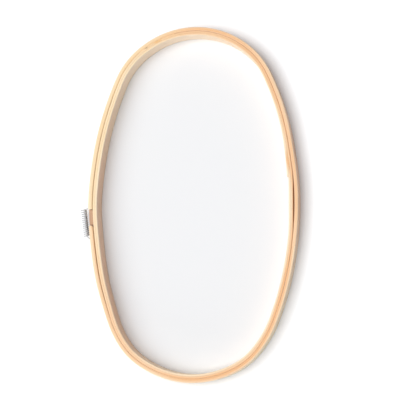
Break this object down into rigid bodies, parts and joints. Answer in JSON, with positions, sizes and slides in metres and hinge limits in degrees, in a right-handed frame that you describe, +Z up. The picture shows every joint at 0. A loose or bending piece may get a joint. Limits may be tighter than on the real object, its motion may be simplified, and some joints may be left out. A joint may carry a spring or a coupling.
{
  "type": "embroidery hoop",
  "caption": "Oval wooden embroidery hoop: a bent inner ring inside a split outer ring that a small coil spring pulls shut, so that the two clamp fabric between them.",
  "frame": {"origin": "centre of the oval window, in the plane that the hoop lies on", "axes": "+Z up out of the window, square to the hoop; +Y along the oval's long axis towards its slightly narrower end; +X across it, away from the split and its spring"},
  "size_m": [0.1443, 0.229, 0.011],
  "materials": {
    "inner_ring_wood": "smooth sanded pale wood",
    "outer_ring_wood": "smooth sanded pale wood, thin clear coat",
    "spring_wire": "drawn bright wire"
  },
  "bodies": {
    "inner_ring": {"inner_ring_outer_ply": "inner_ring_wood", "inner_ring_inner_ply": "inner_ring_wood"},
    "outer_ring_upper": {"outer_ring_upper_arm": "outer_ring_wood", "tension_spring": "spring_wire"},
    "outer_ring_lower": {"outer_ring_lower_arm": "outer_ring_wood"}
  },
  "joints": [
    {"name": "outer_ring_lift", "type": "slide", "parent": "inner_ring", "child": "outer_ring_upper", "axis": [0, 0, 1], "range_m": [0, 0.03]},
    {"name": "split_spread", "type": "hinge", "parent": "outer_ring_upper", "child": "outer_ring_lower", "pos_m": [0.0666, -0.03, 0.0055], "axis": [0, 0, 1], "range_deg": [0, 1.7], "stiffness_Nm_per_rad": 5, "springref_deg": -1.15, "deforming": ["tension_spring"]}
  ]
}
